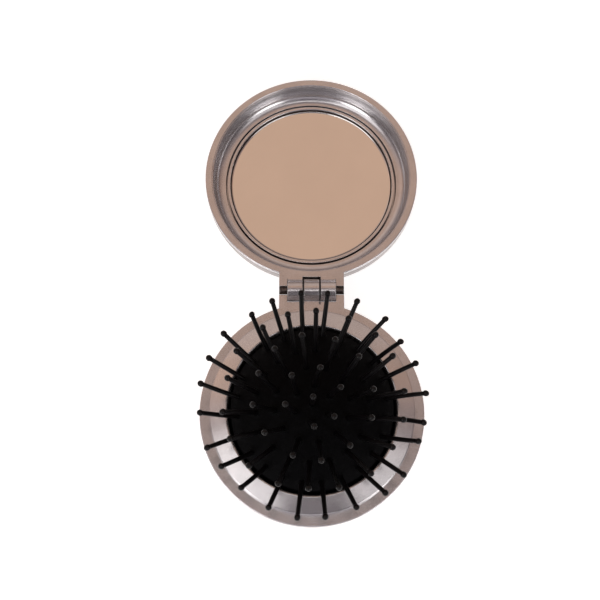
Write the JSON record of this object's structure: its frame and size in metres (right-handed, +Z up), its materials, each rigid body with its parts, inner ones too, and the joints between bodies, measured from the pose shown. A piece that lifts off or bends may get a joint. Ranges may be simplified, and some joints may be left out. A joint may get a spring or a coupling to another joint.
{
  "type": "folding hairbrush with mirror",
  "caption": "Round folding pocket hairbrush, lying open: a pop-up rubber cushion with ball-tipped pins in the base and a round mirror in the hinged lid.",
  "frame": {"origin": "on the table, straight below the middle of the hinge pin, which is the middle of the opened brush's footprint", "axes": "+Y from the brush half to the lid half, +Z up off the table, +X along the hinge pin"},
  "size_m": [0.066, 0.14, 0.0428],
  "materials": {
    "case_paint": "satin silver-champagne metallic paint on moulded plastic",
    "frame_paint": "bright silver-champagne metallic paint on moulded plastic",
    "bezel_paint": "bright silver metallic paint",
    "cushion_rubber": "soft black rubber with a dull sheen",
    "pin_nylon": "glossy black nylon",
    "dark_plastic": "fine matt black",
    "steel": "turned steel wire",
    "mirror": "silvered glass",
    "foam": "white closed-cell adhesive foam"
  },
  "bodies": {
    "base": {"base_shell": "case_paint", "brush_frame": "frame_paint", "cushion": "cushion_rubber", "cushion_clamp": "dark_plastic", "clamp_screws": "steel", "hinge_pin": "steel"},
    "push_pad": {"push_pad": "dark_plastic", "centre_pin": "pin_nylon"},
    "pins_inner_1": {"pins_inner_1": "pin_nylon"},
    "pins_inner_2": {"pins_inner_2": "pin_nylon"},
    "pins_inner_3": {"pins_inner_3": "pin_nylon"},
    "pins_second_1": {"pins_second_1": "pin_nylon"},
    "pins_second_2": {"pins_second_2": "pin_nylon"},
    "pins_second_3": {"pins_second_3": "pin_nylon"},
    "pins_second_4": {"pins_second_4": "pin_nylon"},
    "pins_second_5": {"pins_second_5": "pin_nylon"},
    "pins_second_6": {"pins_second_6": "pin_nylon"},
    "pins_third_1": {"pins_third_1": "pin_nylon"},
    "pins_third_2": {"pins_third_2": "pin_nylon"},
    "pins_third_3": {"pins_third_3": "pin_nylon"},
    "pins_third_4": {"pins_third_4": "pin_nylon"},
    "pins_third_5": {"pins_third_5": "pin_nylon"},
    "pins_third_6": {"pins_third_6": "pin_nylon"},
    "pins_third_7": {"pins_third_7": "pin_nylon"},
    "pins_third_8": {"pins_third_8": "pin_nylon"},
    "pins_third_9": {"pins_third_9": "pin_nylon"},
    "pins_outer_1": {"pins_outer_1": "pin_nylon"},
    "pins_outer_2": {"pins_outer_2": "pin_nylon"},
    "pins_outer_3": {"pins_outer_3": "pin_nylon"},
    "pins_outer_4": {"pins_outer_4": "pin_nylon"},
    "pins_outer_5": {"pins_outer_5": "pin_nylon"},
    "pins_outer_6": {"pins_outer_6": "pin_nylon"},
    "pins_outer_7": {"pins_outer_7": "pin_nylon"},
    "pins_outer_8": {"pins_outer_8": "pin_nylon"},
    "pins_outer_9": {"pins_outer_9": "pin_nylon"},
    "pins_outer_10": {"pins_outer_10": "pin_nylon"},
    "pins_outer_11": {"pins_outer_11": "pin_nylon"},
    "pins_outer_12": {"pins_outer_12": "pin_nylon"},
    "lid": {"lid_cover": "case_paint", "lid_liner": "frame_paint", "liner_screws": "steel", "mirror_pad": "foam", "mirror_glass": "mirror", "mirror_bezel": "bezel_paint"}
  },
  "joints": [
    {"name": "lid_hinge", "type": "hinge", "parent": "base", "child": "lid", "pos_m": [0, 0, 0.014], "axis": [1, 0, 0], "range_deg": [0, 180]},
    {"name": "pad_slide", "type": "slide", "parent": "base", "child": "push_pad", "axis": [0, 0, -1], "range_m": [0, 0.02346], "deforming": ["cushion"]},
    {"name": "pins_inner_1_swing", "type": "hinge", "parent": "base", "child": "pins_inner_1", "pos_m": [0.08317, 0.08178, 0.01653], "axis": [0.8192, -0.5736, 0], "range_deg": [0, 9.6]},
    {"name": "pins_inner_2_swing", "type": "hinge", "parent": "base", "child": "pins_inner_2", "pos_m": [0.06128, -0.16841, 0.01653], "axis": [-0.9063, -0.4226, 0], "range_deg": [0, 9.6]},
    {"name": "pins_inner_3_swing", "type": "hinge", "parent": "base", "child": "pins_inner_3", "pos_m": [-0.14445, -0.02436, 0.01653], "axis": [0.0872, 0.9962, 0], "range_deg": [0, 9.6]},
    {"name": "pins_second_1_swing", "type": "hinge", "parent": "base", "child": "pins_second_1", "pos_m": [0.03899, 0.01667, 0.01538], "axis": [0.809, -0.5878, 0], "range_deg": [0, 23.55]},
    {"name": "pins_second_2_swing", "type": "hinge", "parent": "base", "child": "pins_second_2", "pos_m": [0.06598, -0.04393, 0.01538], "axis": [-0.1045, -0.9945, 0], "range_deg": [0, 23.55]},
    {"name": "pins_second_3_swing", "type": "hinge", "parent": "base", "child": "pins_second_3", "pos_m": [0.02698, -0.09761, 0.01538], "axis": [-0.9135, -0.4067, 0], "range_deg": [0, 23.55]},
    {"name": "pins_second_4_swing", "type": "hinge", "parent": "base", "child": "pins_second_4", "pos_m": [-0.03899, -0.09067, 0.01538], "axis": [-0.809, 0.5878, 0], "range_deg": [0, 23.55]},
    {"name": "pins_second_5_swing", "type": "hinge", "parent": "base", "child": "pins_second_5", "pos_m": [-0.06598, -0.03007, 0.01538], "axis": [0.1045, 0.9945, 0], "range_deg": [0, 23.55]},
    {"name": "pins_second_6_swing", "type": "hinge", "parent": "base", "child": "pins_second_6", "pos_m": [-0.02698, 0.02361, 0.01538], "axis": [0.9135, 0.4067, 0], "range_deg": [0, 23.55]},
    {"name": "pins_third_1_swing", "type": "hinge", "parent": "base", "child": "pins_third_1", "pos_m": [0.01076, 0.0096, 0.01403], "axis": [0.9744, -0.225, 0], "range_deg": [0, 37.5]},
    {"name": "pins_third_2_swing", "type": "hinge", "parent": "base", "child": "pins_third_2", "pos_m": [0.03819, -0.00822, 0.01403], "axis": [0.6018, -0.7986, 0], "range_deg": [0, 37.5]},
    {"name": "pins_third_3_swing", "type": "hinge", "parent": "base", "child": "pins_third_3", "pos_m": [0.04776, -0.0395, 0.01403], "axis": [-0.0523, -0.9986, 0], "range_deg": [0, 37.5]},
    {"name": "pins_third_4_swing", "type": "hinge", "parent": "base", "child": "pins_third_4", "pos_m": [0.03497, -0.06961, 0.01403], "axis": [-0.682, -0.7314, 0], "range_deg": [0, 37.5]},
    {"name": "pins_third_5_swing", "type": "hinge", "parent": "base", "child": "pins_third_5", "pos_m": [0.00583, -0.08447, 0.01403], "axis": [-0.9925, -0.1219, 0], "range_deg": [0, 37.5]},
    {"name": "pins_third_6_swing", "type": "hinge", "parent": "base", "child": "pins_third_6", "pos_m": [-0.02605, -0.07711, 0.01403], "axis": [-0.8387, 0.5446, 0], "range_deg": [0, 37.5]},
    {"name": "pins_third_7_swing", "type": "hinge", "parent": "base", "child": "pins_third_7", "pos_m": [-0.04573, -0.05098, 0.01403], "axis": [-0.2924, 0.9563, 0], "range_deg": [0, 37.5]},
    {"name": "pins_third_8_swing", "type": "hinge", "parent": "base", "child": "pins_third_8", "pos_m": [-0.04402, -0.01831, 0.01403], "axis": [0.3907, 0.9205, 0], "range_deg": [0, 37.5]},
    {"name": "pins_third_9_swing", "type": "hinge", "parent": "base", "child": "pins_third_9", "pos_m": [-0.02171, 0.00561, 0.01403], "axis": [0.891, 0.454, 0], "range_deg": [0, 37.5]},
    {"name": "pins_outer_1_swing", "type": "hinge", "parent": "base", "child": "pins_outer_1", "pos_m": [0.01082, 0.00203, 0.01324], "axis": [0.9636, -0.2672, 0], "range_deg": [0, 47.05]},
    {"name": "pins_outer_2_swing", "type": "hinge", "parent": "base", "child": "pins_outer_2", "pos_m": [0.02889, -0.00861, 0.01324], "axis": [0.7009, -0.7133, 0], "range_deg": [0, 47.05]},
    {"name": "pins_outer_3_swing", "type": "hinge", "parent": "base", "child": "pins_outer_3", "pos_m": [0.03922, -0.02686, 0.01324], "axis": [0.2504, -0.9681, 0], "range_deg": [0, 47.05]},
    {"name": "pins_outer_4_swing", "type": "hinge", "parent": "base", "child": "pins_outer_4", "pos_m": [0.03903, -0.04782, 0.01324], "axis": [-0.2672, -0.9636, 0], "range_deg": [0, 47.05]},
    {"name": "pins_outer_5_swing", "type": "hinge", "parent": "base", "child": "pins_outer_5", "pos_m": [0.02839, -0.06589, 0.01324], "axis": [-0.7133, -0.7009, 0], "range_deg": [0, 47.05]},
    {"name": "pins_outer_6_swing", "type": "hinge", "parent": "base", "child": "pins_outer_6", "pos_m": [0.01014, -0.07622, 0.01324], "axis": [-0.9681, -0.2504, 0], "range_deg": [0, 47.05]},
    {"name": "pins_outer_7_swing", "type": "hinge", "parent": "base", "child": "pins_outer_7", "pos_m": [-0.01082, -0.07603, 0.01324], "axis": [-0.9636, 0.2672, 0], "range_deg": [0, 47.05]},
    {"name": "pins_outer_8_swing", "type": "hinge", "parent": "base", "child": "pins_outer_8", "pos_m": [-0.02889, -0.06539, 0.01324], "axis": [-0.7009, 0.7133, 0], "range_deg": [0, 47.05]},
    {"name": "pins_outer_9_swing", "type": "hinge", "parent": "base", "child": "pins_outer_9", "pos_m": [-0.03922, -0.04714, 0.01324], "axis": [-0.2504, 0.9681, 0], "range_deg": [0, 47.05]},
    {"name": "pins_outer_10_swing", "type": "hinge", "parent": "base", "child": "pins_outer_10", "pos_m": [-0.03903, -0.02618, 0.01324], "axis": [0.2672, 0.9636, 0], "range_deg": [0, 47.05]},
    {"name": "pins_outer_11_swing", "type": "hinge", "parent": "base", "child": "pins_outer_11", "pos_m": [-0.02839, -0.00811, 0.01324], "axis": [0.7133, 0.7009, 0], "range_deg": [0, 47.05]},
    {"name": "pins_outer_12_swing", "type": "hinge", "parent": "base", "child": "pins_outer_12", "pos_m": [-0.01014, 0.00222, 0.01324], "axis": [0.9681, 0.2504, 0], "range_deg": [0, 47.05]}
  ],
  "couplings": [
    {"joint": "pad_slide", "follows": "lid_hinge", "m_per_rad": 0.0074644},
    {"joint": "pins_inner_1_swing", "follows": "lid_hinge", "ratio": 0.053038},
    {"joint": "pins_inner_2_swing", "follows": "lid_hinge", "ratio": 0.053038},
    {"joint": "pins_inner_3_swing", "follows": "lid_hinge", "ratio": 0.053038},
    {"joint": "pins_second_1_swing", "follows": "lid_hinge", "ratio": 0.13056},
    {"joint": "pins_second_2_swing", "follows": "lid_hinge", "ratio": 0.13056},
    {"joint": "pins_second_3_swing", "follows": "lid_hinge", "ratio": 0.13056},
    {"joint": "pins_second_4_swing", "follows": "lid_hinge", "ratio": 0.13056},
    {"joint": "pins_second_5_swing", "follows": "lid_hinge", "ratio": 0.13056},
    {"joint": "pins_second_6_swing", "follows": "lid_hinge", "ratio": 0.13056},
    {"joint": "pins_third_1_swing", "follows": "lid_hinge", "ratio": 0.20807},
    {"joint": "pins_third_2_swing", "follows": "lid_hinge", "ratio": 0.20807},
    {"joint": "pins_third_3_swing", "follows": "lid_hinge", "ratio": 0.20807},
    {"joint": "pins_third_4_swing", "follows": "lid_hinge", "ratio": 0.20807},
    {"joint": "pins_third_5_swing", "follows": "lid_hinge", "ratio": 0.20807},
    {"joint": "pins_third_6_swing", "follows": "lid_hinge", "ratio": 0.20807},
    {"joint": "pins_third_7_swing", "follows": "lid_hinge", "ratio": 0.20807},
    {"joint": "pins_third_8_swing", "follows": "lid_hinge", "ratio": 0.20807},
    {"joint": "pins_third_9_swing", "follows": "lid_hinge", "ratio": 0.20807},
    {"joint": "pins_outer_1_swing", "follows": "lid_hinge", "ratio": 0.26111},
    {"joint": "pins_outer_2_swing", "follows": "lid_hinge", "ratio": 0.26111},
    {"joint": "pins_outer_3_swing", "follows": "lid_hinge", "ratio": 0.26111},
    {"joint": "pins_outer_4_swing", "follows": "lid_hinge", "ratio": 0.26111},
    {"joint": "pins_outer_5_swing", "follows": "lid_hinge", "ratio": 0.26111},
    {"joint": "pins_outer_6_swing", "follows": "lid_hinge", "ratio": 0.26111},
    {"joint": "pins_outer_7_swing", "follows": "lid_hinge", "ratio": 0.26111},
    {"joint": "pins_outer_8_swing", "follows": "lid_hinge", "ratio": 0.26111},
    {"joint": "pins_outer_9_swing", "follows": "lid_hinge", "ratio": 0.26111},
    {"joint": "pins_outer_10_swing", "follows": "lid_hinge", "ratio": 0.26111},
    {"joint": "pins_outer_11_swing", "follows": "lid_hinge", "ratio": 0.26111},
    {"joint": "pins_outer_12_swing", "follows": "lid_hinge", "ratio": 0.26111}
  ]
}
